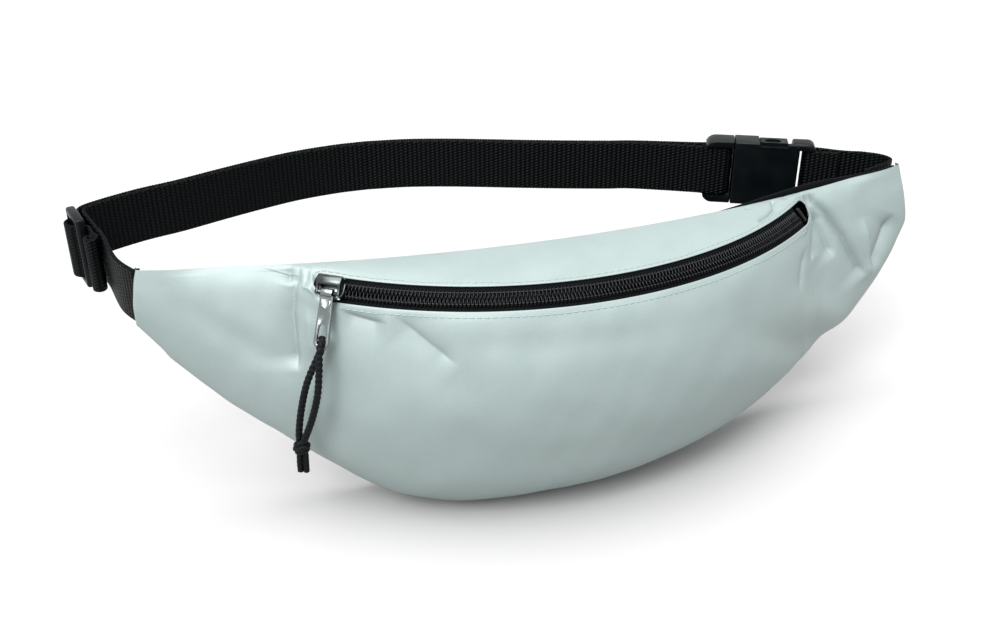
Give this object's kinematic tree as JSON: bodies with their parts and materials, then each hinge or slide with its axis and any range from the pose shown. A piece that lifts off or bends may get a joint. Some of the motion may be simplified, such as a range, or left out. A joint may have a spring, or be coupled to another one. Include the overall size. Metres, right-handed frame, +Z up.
{
  "type": "waist bag",
  "caption": "Crescent waist bag in silver reflective fabric with a curved zip, corded puller and a black webbing belt with side-release buckle.",
  "frame": {"origin": "middle of the back panel's rear face, level with the middle of the belt webbing; the wearer's waist touches it there", "axes": "+Z up as worn, +X to the right tip seen from the front, -Y out of the front of the bag, +Y towards the wearer"},
  "size_m": [0.3847, 0.1843, 0.1167],
  "materials": {
    "silver_fabric": "satin retroreflective coated polyester",
    "black_fabric": "matt woven polyester",
    "black_webbing": "ribbed polypropylene webbing",
    "black_plastic": "satin moulded acetal",
    "zip_coil": "glossy nylon coil",
    "nickel": "nickel-plated zinc",
    "black_cord": "braided polyester cord"
  },
  "bodies": {
    "root": {"front_panel": "silver_fabric", "top_panel": "silver_fabric", "back_panel": "black_fabric", "top_seam_binding": "black_fabric", "bottom_seam_binding": "black_fabric", "left_tip_binding": "black_fabric", "right_tip_binding": "black_fabric", "zip_tape_upper": "black_fabric", "zip_tape_lower": "black_fabric", "zip_coil_upper": "zip_coil", "zip_coil_lower": "zip_coil", "zip_stop_left_upper": "nickel", "zip_stop_left_lower": "nickel", "zip_stop_right": "nickel", "belt_wing_strap": "black_webbing", "belt_outer_run": "black_webbing", "belt_inner_run": "black_webbing", "right_strap": "black_webbing", "buckle_female": "black_plastic"},
    "slider": {"slider_body": "nickel", "slider_crown": "nickel"},
    "pull_tab": {"pull_tab": "nickel"},
    "puller_cord": {"puller_cord_front": "black_cord", "puller_cord_rear": "black_cord", "puller_knot": "black_cord"},
    "buckle_male": {"buckle_male": "black_plastic", "belt_buckle_end": "black_webbing"},
    "prong_upper": {"prong_upper": "black_plastic"},
    "prong_lower": {"prong_lower": "black_plastic"},
    "triglide": {"triglide": "black_plastic", "belt_adjuster_end": "black_webbing"}
  },
  "joints": [
    {"name": "zip_travel", "type": "hinge", "parent": "root", "child": "slider", "pos_m": [0, 0.137, 0.0075], "axis": [0, 0, 1], "range_deg": [0, 70.2]},
    {"name": "tab_swing", "type": "hinge", "parent": "slider", "child": "pull_tab", "pos_m": [-0.10471, -0.01144, 0.00891], "axis": [-0.8171, 0.5764, 0], "range_deg": [0, 110]},
    {"name": "cord_swing", "type": "hinge", "parent": "pull_tab", "child": "puller_cord", "pos_m": [-0.10992, -0.01882, -0.00882], "axis": [-0.8171, 0.5764, 0], "range_deg": [0, 32]},
    {"name": "buckle_release", "type": "slide", "parent": "root", "child": "buckle_male", "axis": [-0.9063, 0.4226, 0], "range_m": [0, 0.028], "deforming": ["belt_buckle_end", "prong_upper", "prong_lower"]},
    {"name": "prong_upper_press", "type": "hinge", "parent": "buckle_male", "child": "prong_upper", "pos_m": [0.11428, 0.06708, 0.0104], "axis": [0.4226, 0.9063, 0], "range_deg": [0, 11], "stiffness_Nm_per_rad": 0.05},
    {"name": "prong_lower_press", "type": "hinge", "parent": "buckle_male", "child": "prong_lower", "pos_m": [0.11428, 0.06708, -0.0104], "axis": [-0.4226, -0.9063, 0], "range_deg": [0, 11], "stiffness_Nm_per_rad": 0.05},
    {"name": "triglide_adjust", "type": "slide", "parent": "root", "child": "triglide", "axis": [0.2419, -0.9703, 0], "range_m": [0, 0.02], "deforming": ["belt_wing_strap", "belt_adjuster_end"]}
  ]
}
